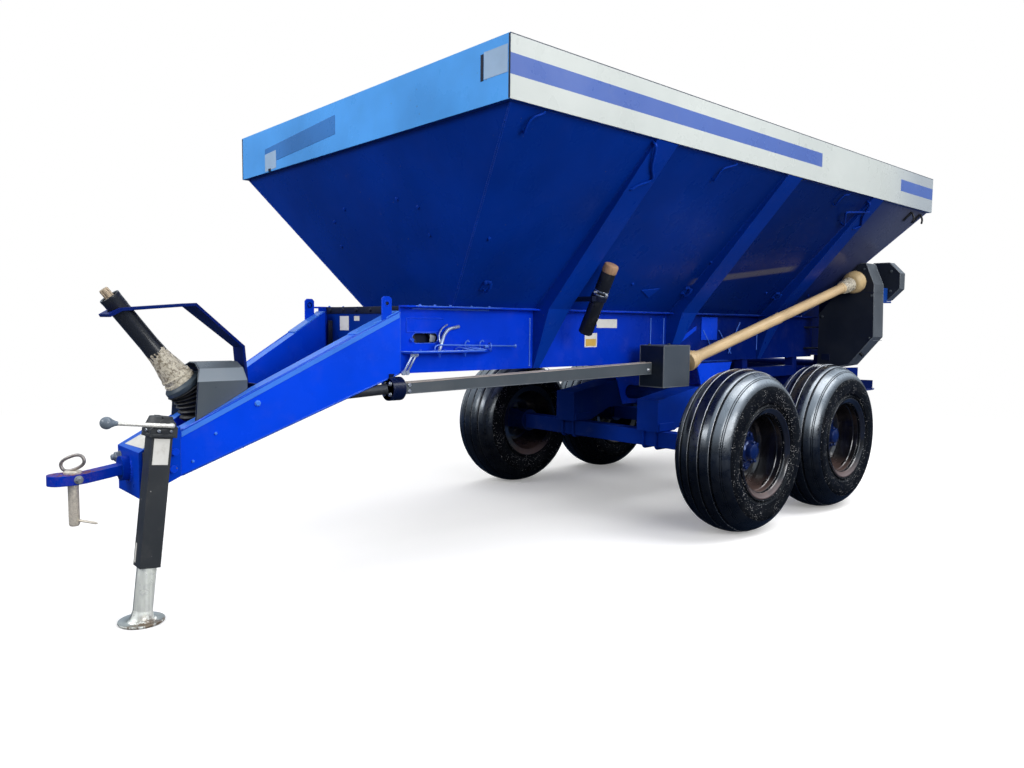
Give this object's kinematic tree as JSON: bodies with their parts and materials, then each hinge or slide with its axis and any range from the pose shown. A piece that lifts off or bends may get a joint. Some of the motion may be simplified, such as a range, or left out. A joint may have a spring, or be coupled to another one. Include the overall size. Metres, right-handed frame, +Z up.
{
  "type": "tandem-axle lime spreader",
  "caption": "Towed lime spreader: hopper on a tandem axle with floor belt, rear gate, spreading discs, drawbar jack and driveline.",
  "frame": {"origin": "on the ground below the middle of the overall box", "axes": "+X to the machine's left, -Y forwards to the hitch, +Z up"},
  "size_m": [2.17, 5.34, 2.07],
  "materials": {
    "band_sky": "gloss enamel",
    "band_white": "gloss enamel with a blue stripe",
    "bare_steel": "bare, a little rusty",
    "beige_plastic": "moulded",
    "black_plastic": "moulded",
    "black_rubber": "matte",
    "dark_sheet": "satin enamel",
    "disc_steel": "worn enamel",
    "hopper_blue": "gloss enamel, dark navy",
    "machine_blue": "gloss enamel",
    "machined_steel": "machined",
    "rim_black": "gloss enamel with road dust",
    "tyre": "new, dressed",
    "zinc": "hot-dip galvanised"
  },
  "bodies": {
    "frame": {"axles": "machine_blue", "canister_clamp": "bare_steel", "cardan_guard": "beige_plastic", "cardan_stubs": "machined_steel", "chain_case": "dark_sheet", "chassis_cross_members": "machine_blue", "chassis_rails": "machine_blue", "conveyor_belt": "black_rubber", "conveyor_drums": "machined_steel", "cross_shaft": "machined_steel", "document_canister": "black_plastic", "drawbar_beams": "machine_blue", "drawbar_nose": "machine_blue", "gate_guides": "hopper_blue", "hitch_pin": "bare_steel", "hitch_tongue": "machine_blue", "hopper_front_panel": "hopper_blue", "hopper_left_panel": "hopper_blue", "hopper_rear_panel": "hopper_blue", "hopper_right_panel": "hopper_blue", "hopper_rim_ends": "band_sky", "hopper_rim_sides": "band_white", "input_gearbox": "machine_blue", "input_hood": "dark_sheet", "jack_crank": "bare_steel", "jack_housing": "dark_sheet", "joint_guard": "dark_sheet", "lever_shelf": "machine_blue", "pivot_hangers": "machine_blue", "pivot_shaft": "machine_blue", "pto_bellows": "black_rubber", "pto_shaft_guard": "black_plastic", "pto_support_arm": "machine_blue", "shaft_bearing": "machine_blue", "side_ribs": "hopper_blue", "side_shaft_guard": "dark_sheet", "spinner_frame": "machine_blue", "spinner_gearboxes": "machine_blue", "spinner_shield": "machine_blue", "sprocket_guard": "dark_sheet", "walking_beams": "machine_blue"},
    "wheel_front_left": {"tyre_front_left": "tyre", "wheel_rim_front_left": "rim_black"},
    "wheel_front_right": {"tyre_front_right": "tyre", "wheel_rim_front_right": "rim_black"},
    "wheel_rear_left": {"tyre_rear_left": "tyre", "wheel_rim_rear_left": "rim_black"},
    "wheel_rear_right": {"tyre_rear_right": "tyre", "wheel_rim_rear_right": "rim_black"},
    "disc_left": {"spinner_disc_left": "disc_steel"},
    "disc_right": {"spinner_disc_right": "disc_steel"},
    "gate": {"rear_gate": "hopper_blue"},
    "jack_leg": {"jack_leg": "zinc"}
  },
  "joints": [
    {"name": "wheel_front_left_spin", "type": "hinge", "parent": "frame", "child": "wheel_front_left", "pos_m": [0.884, 0.38, 0.432], "axis": [1, 0, 0], "continuous": true},
    {"name": "wheel_front_right_spin", "type": "hinge", "parent": "frame", "child": "wheel_front_right", "pos_m": [-0.884, 0.38, 0.432], "axis": [1, 0, 0], "continuous": true},
    {"name": "wheel_rear_left_spin", "type": "hinge", "parent": "frame", "child": "wheel_rear_left", "pos_m": [0.884, 1.3, 0.432], "axis": [1, 0, 0], "continuous": true},
    {"name": "wheel_rear_right_spin", "type": "hinge", "parent": "frame", "child": "wheel_rear_right", "pos_m": [-0.884, 1.3, 0.432], "axis": [1, 0, 0], "continuous": true},
    {"name": "disc_left_spin", "type": "hinge", "parent": "frame", "child": "disc_left", "pos_m": [0.4, 2.35, 0.64], "axis": [0, 0, 1], "continuous": true},
    {"name": "disc_right_spin", "type": "hinge", "parent": "frame", "child": "disc_right", "pos_m": [-0.4, 2.35, 0.64], "axis": [0, 0, 1], "continuous": true},
    {"name": "gate_slide", "type": "slide", "parent": "frame", "child": "gate", "axis": [0, 0.3949, 0.9187], "range_m": [0, 0.18]},
    {"name": "jack_slide", "type": "slide", "parent": "frame", "child": "jack_leg", "axis": [0, 0.1132, 0.9936], "range_m": [-0.12, 0.16]}
  ]
}
